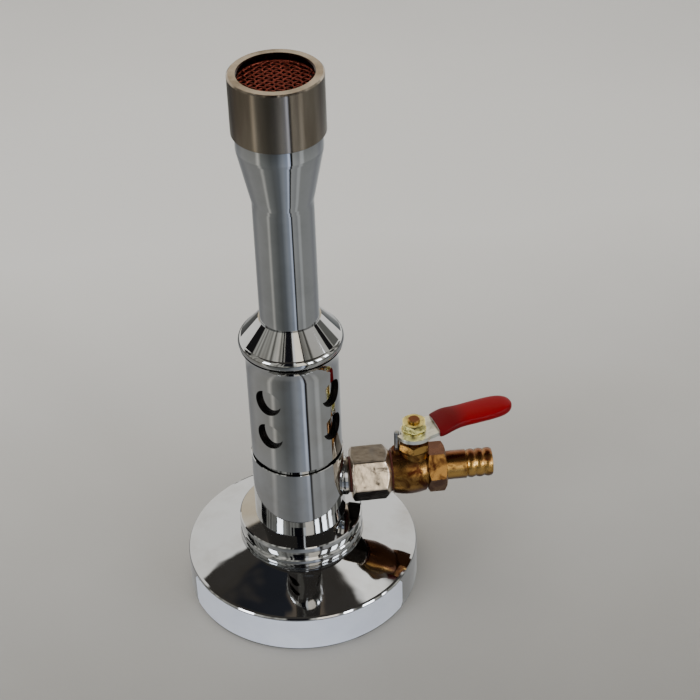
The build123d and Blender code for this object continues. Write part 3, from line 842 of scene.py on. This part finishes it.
@dataclass
class Lever:
    """The cranked plate, its nut and washer, and the dipped vinyl grip."""

    turn: float = 14.0            # degrees between the pipe's line and the lever at rest
    plate_half: float = 0.75
    oval_points: int = 16
    oval_corner: float = 0.55     # 1 is a square section, 0 a round one
    sections: tuple[tuple[float, float, float, float], ...] = (
        # along the lever, half width, half thickness, rise above the hub's middle
        (7.9, 5.95, 1.75, 0.0), (8.6, 6.15, 1.95, 0.1), (11.0, 6.3, 1.95, 0.85),
        (13.6, 5.9, 1.95, 1.5), (17.0, 5.2, 1.95, 1.5), (21.0, 5.35, 1.95, 1.5),
        (26.0, 5.5, 1.95, 1.5), (31.5, 5.35, 1.95, 1.5), (34.4, 4.4, 1.9, 1.5),
        (36.3, 2.9, 1.6, 1.5), (37.25, 1.1, 0.9, 1.5))
    # share that the open end narrows to, and how far the step goes back into the sleeve
    lip: tuple[tuple[float, float], ...] = ((0.86, -0.12), (0.72, 0.5))

    def grip(self, finishes: Finishes) -> None:
        """Extrudes the sleeve section by section from its open end to the closed tip."""
        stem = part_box("valve_stem")
        plate_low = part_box("lever")[0].z
        stem_x = (stem[0].x + stem[1].x) / 2
        middle = plate_low + self.plate_half * MM
        deselect()
        along, half_w, half_t, _ = self.sections[0]
        bpy.ops.mesh.primitive_circle_add(
            vertices=self.oval_points, radius=1.0, fill_type="NOTHING", location=(0, 0, 0),
            rotation=(0, math.pi / 2, 0))
        sleeve = bpy.context.object
        sleeve.name = "vinyl_grip"
        settle(sleeve)
        for vertex in sleeve.data.vertices:
            # a flat oval with full corners, as vinyl takes over a plate
            y, z = vertex.co.y, vertex.co.z
            full = max(abs(y), abs(z)) ** self.oval_corner
            vertex.co = (along * MM, y / full * half_w * MM, z / full * half_t * MM)
        activate(sleeve)
        bpy.ops.object.mode_set(mode="EDIT")
        bpy.ops.mesh.select_all(action="SELECT")
        for before, after in zip(self.sections, self.sections[1:]):
            move = ((after[0] - before[0]) * MM, 0, (after[3] - before[3]) * MM)
            bpy.ops.mesh.extrude_region_move(TRANSFORM_OT_translate={"value": move})
            bpy.ops.transform.resize(
                value=(1, after[1] / before[1], after[2] / before[2]),
                center_override=(after[0] * MM, 0, after[3] * MM))
        bpy.ops.mesh.edge_face_add()
        bpy.ops.object.mode_set(mode="OBJECT")
        self.roll_in(sleeve)
        add_modifier(sleeve, "SUBSURF", levels=2, render_levels=2)
        sleeve.location = (stem_x, 0, middle)
        sleeve.rotation_euler = (0, 0, math.radians(self.turn))
        settle(sleeve)
        outward(sleeve)
        smooth(sleeve, ROUND_EDGES)
        dress(sleeve, finishes.vinyl)
        hand_over(sleeve, Body.LEVER, "red_vinyl", "lever_grip")

    def roll_in(self, sleeve: bpy.types.Object) -> None:
        """Turns the sleeve's open end in towards the plate and closes it behind the lip."""
        along, _, _, rise = self.sections[0]
        activate(sleeve)
        edge = along * MM
        bpy.ops.object.mode_set(mode="EDIT")
        bpy.ops.mesh.select_all(action="DESELECT")
        bpy.ops.object.mode_set(mode="OBJECT")
        for vertex in sleeve.data.vertices:
            vertex.select = abs(vertex.co.x - edge) < SAME_PLACE * MM
        bpy.ops.object.mode_set(mode="EDIT")
        bpy.ops.mesh.select_mode(type="VERT")
        for narrow, back in self.lip:
            bpy.ops.mesh.extrude_region_move(
                TRANSFORM_OT_translate={"value": (back * MM, 0, 0)})
            bpy.ops.transform.resize(value=(1, narrow, narrow),
                                     center_override=(edge, 0, rise * MM))
        bpy.ops.mesh.edge_face_add()
        bpy.ops.object.mode_set(mode="OBJECT")

    def build(self, finishes: Finishes) -> None:
        """Makes and dresses the moving lever."""
        dress_node("lever", finishes.zinc)
        for node in ("lever_nut", "lever_washer"):
            dress_node(node, finishes.yellow_zinc)
        self.grip(finishes)


@dataclass(frozen=True)
class Panel:
    """A patch of the room as polished metal sees it, by direction from the burner, in degrees.

    The azimuth is 0 in front of the burner and grows towards +X. The patch fades over SOFT.
    """

    azimuth: float
    half_azimuth: float
    elevation: float
    half_elevation: float
    light: tuple[float, float, float]
    soft: float = 3.0


@dataclass
class Studio:
    """Pale floor, soft light, the room that the chrome mirrors, and the camera."""

    eye: tuple[float, float, float] = (-26.8, -511.4, 484.0)
    target: tuple[float, float, float] = (19.8, 0.0, 98.8)
    roll: float = 2.04
    lens: float = 97.26
    sensor: float = 36.0
    clip: tuple[float, float] = (10.0, 30000.0)
    floor_size: float = 12000.0
    floor_shadow_depth: tuple[float, float] = (-180.0, 240.0)    # painted shadow: darker in front, lighter behind
    floor_near: tuple[float, float] = (300.0, 800.0)      # one even tone beyond this
    floor_even: float = 0.62      # that tone, as a place on the ramp
    # the ramp runs from the painted shadow in front to the pale paper behind
    floor_tones: tuple[tuple[float, str], ...] = (
        (0.0, "#6b6964"), (0.5, "#a5a39e"), (1.0, "#d3d1cc"))
    floor_cloud: float = 70.0
    floor_cloud_share: float = 0.1
    floor_grain: float = 1.6
    floor_grain_height: float = 0.05
    room: tuple[float, float, float] = (0.42, 0.41, 0.37)
    # place on the noise round the room, and how bright the room is there
    clutter: tuple[tuple[float, float], ...] = ((0.36, 0.3), (0.62, 2.0))
    backdrop: tuple[float, float, float] = (0.62, 0.61, 0.6)
    ambient: tuple[float, float, float] = (0.36, 0.36, 0.36)
    panels: tuple[Panel, ...] = (
        Panel(180, 66, 12, 33, (1.5, 1.45, 1.36)),                 # pale wall behind
        Panel(180, 14, 38, 9, (1.1, 0.93, 0.68)),                  # warm strip high on that wall
        Panel(0, 180, 74, 27, (0.075, 0.068, 0.06), 2.0),          # dark ceiling
        Panel(178, 20, 72, 12, (0.17, 0.14, 0.11), 8.0),           # a paler part of it
        Panel(-150, 7, 72, 12, (0.03, 0.032, 0.04), 5.0),          # and a darker one
        Panel(135, 8, 61, 4, (2.0, 1.95, 1.85)),                   # lamp in the ceiling
        Panel(-40, 14, 78, 3, (0.16, 0.15, 0.13), 8.0),
        Panel(66, 16, 33, 8, (0.85, 0.82, 0.76)),
        Panel(-107, 9, 20, 10, (0.02, 0.02, 0.02), 1.5),           # dark stands at both sides
        Panel(92, 5, 24, 8, (0.02, 0.02, 0.02), 1.5),
        Panel(109, 8, 15, 8, (0.2, 0.2, 0.18)),
        Panel(15, 8, 27, 20, (2.2, 2.0, 1.7)),                     # bright wall in front
        Panel(-12, 8, 36, 24, (0.015, 0.015, 0.02)),               # whoever stands there
        Panel(-26, 1.5, 40, 16, (0.03, 0.03, 0.03), 1.0),          # narrow strips, dark and bright
        Panel(3, 2, 42, 18, (1.7, 1.7, 1.7), 1.0),
        Panel(26, 1.2, 42, 16, (0.04, 0.04, 0.04), 1.0),
        Panel(-40, 2, 42, 12, (1.0, 0.95, 0.85), 1.5),
        Panel(-57, 7, 18, 11, (11.0, 11.4, 12.0), 1.0),            # windows
        Panel(34, 4, 18, 11, (11.0, 11.4, 12.0), 1.0),
        Panel(53, 5, 18, 11, (11.0, 11.4, 12.0), 1.0),
        Panel(71, 4, 18, 11, (9.0, 9.2, 9.6), 1.0))
    sweep: tuple[tuple[float, tuple[float, float, float]], ...] = (
        # azimuth in degrees and what the table shows there
        (-180, (0.5, 0.5, 0.49)), (-160, (0.36, 0.36, 0.35)), (-140, (0.28, 0.28, 0.28)),
        (-112, (0.42, 0.41, 0.39)), (-70, (0.4, 0.39, 0.36)), (-62, (0.76, 0.73, 0.66)),
        (-54, (0.3, 0.3, 0.28)), (-28, (0.17, 0.175, 0.17)), (-12, (0.19, 0.2, 0.21)),
        (2, (0.4, 0.42, 0.45)), (13, (0.42, 0.46, 0.54)), (17, (0.9, 0.97, 1.15)),
        (20.5, (0.8, 0.88, 1.05)), (22, (0.03, 0.03, 0.03)), (26, (0.03, 0.03, 0.03)),
        (28, (0.5, 0.5, 0.48)), (44, (0.4, 0.4, 0.39)), (49, (0.62, 0.62, 0.6)),
        (55, (0.62, 0.62, 0.6)), (60, (0.4, 0.4, 0.38)), (100, (0.4, 0.4, 0.39)),
        (118, (0.33, 0.33, 0.34)), (140, (0.4, 0.41, 0.41)), (165, (0.7, 0.7, 0.68)),
        (180, (0.5, 0.5, 0.49)))
    sweep_to: float = 1500.0
    sweep_reach: float = 400.0
    sweep_points: int = 96
    sweep_lift: float = 0.02      # just above the floor
    # by distance from the axis: calm near the foot, streaky far out
    sweep_contrast: tuple[tuple[float, float], ...] = (
        (70, 0.5), (100, 1.0), (305, 1.0), (345, 1.9))
    sweep_gain: tuple[tuple[float, float], ...] = (
        (70, 0.62), (100, 1.0), (290, 1.0), (305, 1.4), (322, 1.4), (334, 1.15))

    def camera(self) -> None:
        """Stands the camera where it looks down at the burner from the front."""
        data = bpy.data.cameras.new("camera")
        data.lens = self.lens
        data.sensor_width = self.sensor
        data.clip_start, data.clip_end = (far * MM for far in self.clip)
        camera = bpy.data.objects.new("camera", data)
        eye, target = Vector(self.eye) * MM, Vector(self.target) * MM
        look = (target - eye).to_track_quat("-Z", "Y")
        camera.rotation_mode = "QUATERNION"
        camera.rotation_quaternion = look @ Quaternion((0, 0, 1), math.radians(-self.roll))
        camera.location = eye
        bpy.context.scene.collection.objects.link(camera)
        bpy.context.scene.camera = camera

    def floor_tone(self, material: bpy.types.Material,
                   place: bpy.types.NodeSocket) -> bpy.types.NodeSocket:
        """Paints a shadow on the paper: it darkens a little towards the front, and far out it is
        even.

        Args:
            material: the floor's material.
            place: its Object coordinates.

        Returns:
            The colour.
        """
        front, behind = (edge * MM for edge in self.floor_shadow_depth)
        start, end = (edge * MM for edge in self.floor_near)
        axes = shader_node(material, "ShaderNodeSeparateXYZ", inputs={"Vector": place})
        # painted shadow, darker towards the front
        depth = shader_node(material, "ShaderNodeMapRange", inputs={
            "Value": axes.outputs["Y"], "From Min": front, "From Max": behind})
        cloud = shader_node(material, "ShaderNodeTexNoise", inputs={
            "Vector": place, "Scale": per_mm(self.floor_cloud), "Detail": 5.0})
        patchy = shader_node(material, "ShaderNodeMath", {"operation": "MULTIPLY"},
                             {0: cloud.outputs["Fac"], 1: self.floor_cloud_share})
        shaded = shader_node(material, "ShaderNodeMath", {"operation": "ADD"},
                             {0: depth.outputs["Result"], 1: patchy.outputs["Value"]})
        radius = shader_node(material, "ShaderNodeVectorMath", {"operation": "LENGTH"}, {0: place})
        near = shader_node(material, "ShaderNodeMapRange", inputs={
            "Value": radius.outputs["Value"], "From Min": start, "From Max": end, "To Min": 1.0,
            "To Max": 0.0})
        change = shader_node(material, "ShaderNodeMath", {"operation": "SUBTRACT"},
                             {0: shaded.outputs["Value"], 1: self.floor_even})
        faded = shader_node(material, "ShaderNodeMath", {"operation": "MULTIPLY"},
                            {0: change.outputs["Value"], 1: near.outputs["Result"]})
        factor = shader_node(material, "ShaderNodeMath", {"operation": "ADD"},
                             {0: faded.outputs["Value"], 1: self.floor_even})
        colour = shader_node(
            material, "ShaderNodeValToRGB", inputs={"Fac": factor.outputs["Value"]},
            stops=[(position, linear(tone)) for position, tone in self.floor_tones])
        return colour.outputs["Color"]

    def floor(self) -> None:
        """Lays the sheet of pale paper."""
        deselect()
        bpy.ops.mesh.primitive_plane_add(size=self.floor_size * MM, location=(0, 0, 0))
        sheet = bpy.context.object
        sheet.name = "floor"
        material, shader, place = Finish("floor_paper").start()
        feed(material, shader, {
            "Base Color": self.floor_tone(material, place),
            "Normal": uneven(material, place, self.floor_grain, self.floor_grain_height, 2.0),
            "Roughness": 0.9, "Specular IOR Level": 0.1})
        dress(sheet, material)
        sheet.visible_glossy = False

    def mirrored_table(self) -> None:
        """Lays the ring that only mirrors see in the floor's place, shaded by azimuth."""
        deselect()
        bpy.ops.mesh.primitive_circle_add(
            vertices=self.sweep_points, radius=self.sweep_to * MM, fill_type="NGON",
            location=(0, 0, self.sweep_lift * MM))
        ring = bpy.context.object
        ring.name = "mirrored_table"
        material = bpy.data.materials.new("table_in_the_mirror")
        material.use_nodes = True
        material.node_tree.nodes.clear()
        place = shader_node(material, "ShaderNodeTexCoord").outputs["Object"]
        axes = shader_node(material, "ShaderNodeSeparateXYZ", inputs={"Vector": place})
        share = shader_node(material, "ShaderNodeMath", {"operation": "MULTIPLY_ADD"},
                            {0: azimuth(material, axes), 1: 1 / math.tau, 2: 0.5})
        radius = shader_node(material, "ShaderNodeVectorMath", {"operation": "LENGTH"}, {0: place})
        out = shader_node(material, "ShaderNodeMath", {"operation": "MULTIPLY"},
                          {0: radius.outputs["Value"], 1: 1 / (self.sweep_reach * MM)})
        contrast, gain = [
            shader_node(material, "ShaderNodeValToRGB", inputs={"Fac": out.outputs["Value"]},
                        stops=[(r / self.sweep_reach, grey(value)) for r, value in steps])
            for steps in (self.sweep_contrast, self.sweep_gain)]
        shown = shader_node(
            material, "ShaderNodeValToRGB", inputs={"Fac": share.outputs["Value"]},
            stops=[((degrees + 180) / 360, (*light, 1.0)) for degrees, light in self.sweep])
        toned = shader_node(material, "ShaderNodeGamma", inputs={
            "Color": shown.outputs["Color"], "Gamma": contrast.outputs["Color"]})
        glow = shader_node(material, "ShaderNodeEmission", inputs={
            "Color": toned.outputs["Color"], "Strength": gain.outputs["Color"]})
        shader_node(material, "ShaderNodeOutputMaterial",
                    inputs={"Surface": glow.outputs["Emission"]})
        dress(ring, material)
        for ray in ("visible_camera", "visible_diffuse", "visible_shadow", "visible_transmission"):
            setattr(ring, ray, False)

    def softbox(self, name: str, place: tuple, aim: tuple, size: tuple, power: float,
                tint: str) -> None:
        """Hangs one rectangular soft light that mirrors don't show.

        Args:
            name: its name.
            place: where it hangs, in millimetres.
            aim: the point that it faces, in millimetres.
            size: its width and height, in millimetres.
            power: in watts.
            tint: its colour.
        """
        data = bpy.data.lights.new(name, "AREA")
        data.shape = "RECTANGLE"
        data.size, data.size_y = size[0] * MM, size[1] * MM
        data.energy = power
        data.color = linear(tint)[:3]
        light = bpy.data.objects.new(name, data)
        here, there = Vector(place) * MM, Vector(aim) * MM
        light.location = here
        light.rotation_mode = "QUATERNION"
        light.rotation_quaternion = (there - here).to_track_quat("-Z", "Y")
        light.visible_glossy = False
        bpy.context.scene.collection.objects.link(light)

    def patch(self, world: bpy.types.World, turn: bpy.types.NodeSocket,
              lift: bpy.types.NodeSocket, panel: Panel) -> bpy.types.NodeSocket:
        """Says how far a direction lies within a panel.

        Args:
            world: the world.
            turn: azimuth of the direction, in radians.
            lift: its elevation, in radians.
            panel: the panel.

        Returns:
            A factor, 1 inside.
        """
        inside = []
        for angle, middle, half in ((turn, panel.azimuth, panel.half_azimuth),
                                    (lift, panel.elevation, panel.half_elevation)):
            off = shader_node(world, "ShaderNodeMath", {"operation": "SUBTRACT"},
                              {0: angle, 1: math.radians(middle)})
            wrapped = shader_node(world, "ShaderNodeMath", {"operation": "WRAP"},
                                  {0: off.outputs["Value"], 1: math.pi, 2: -math.pi})
            distance = shader_node(world, "ShaderNodeMath", {"operation": "ABSOLUTE"},
                                   {0: wrapped.outputs["Value"]})
            edge = shader_node(world, "ShaderNodeMapRange", {"interpolation_type": "SMOOTHSTEP"}, {
                "Value": distance.outputs["Value"], "From Min": math.radians(half + panel.soft),
                "From Max": math.radians(half), "To Min": 0.0, "To Max": 1.0})
            inside.append(edge.outputs["Result"])
        both = shader_node(world, "ShaderNodeMath", {"operation": "MULTIPLY"},
                           {0: inside[0], 1: inside[1]})
        return both.outputs["Value"]

    def world(self) -> None:
        """Builds the room from its panels; the camera and matt surfaces see one tone each."""
        world = bpy.data.worlds.new("room")
        world.use_nodes = True
        direction = shader_node(world, "ShaderNodeTexCoord").outputs["Generated"]
        axes = shader_node(world, "ShaderNodeSeparateXYZ", inputs={"Vector": direction})
        turn = azimuth(world, axes)
        lift = shader_node(world, "ShaderNodeMath", {"operation": "ARCSINE"},
                           {0: axes.outputs["Z"]}).outputs["Value"]
        clutter = shader_node(world, "ShaderNodeTexNoise", {"noise_dimensions": "1D"}, {
            "W": turn, "Scale": 4.5, "Detail": 1.0})
        colour = shader_node(
            world, "ShaderNodeValToRGB", inputs={"Fac": clutter.outputs["Fac"]},
            stops=[(position, (*(share * c for c in self.room), 1.0))
                   for position, share in self.clutter]).outputs["Color"]
        path = shader_node(world, "ShaderNodeLightPath")
        layers = [(self.patch(world, turn, lift, panel), panel.light) for panel in self.panels]
        layers.append((path.outputs["Is Camera Ray"], self.backdrop))
        layers.append((path.outputs["Is Diffuse Ray"], self.ambient))
        for factor, light in layers:
            colour = shader_node(world, "ShaderNodeMix", {"data_type": "RGBA"},
                                 {0: factor, 6: colour, 7: (*light, 1.0)}).outputs[2]
        feed(world, world.node_tree.nodes["Background"], {"Color": colour})
        bpy.context.scene.world = world

    def build(self) -> None:
        """Sets up floor, light and camera."""
        self.camera()
        self.floor()
        self.mirrored_table()
        self.world()
        self.softbox("softbox_above", place=(-250, 150, 1300), aim=(0, 0, 0), size=(1300, 1300),
                     power=12.0, tint="#fffaf2")
        self.softbox("softbox_front", place=(-500, -900, 700), aim=(0, 0, 60), size=(700, 500),
                     power=3.8, tint="#eef3ff")


def main() -> None:
    """Builds every sub-assembly in order."""
    logging.basicConfig(level=logging.INFO, format="%(name)s: %(message)s")
    finishes = Finishes()
    Studio().build()
    for assembly in (Foot(), BurnerTube(), Head(), GasValve(), Lever()):
        log.info("building %s", type(assembly).__name__)
        assembly.build(finishes)


if __name__ == "__main__":
    main()
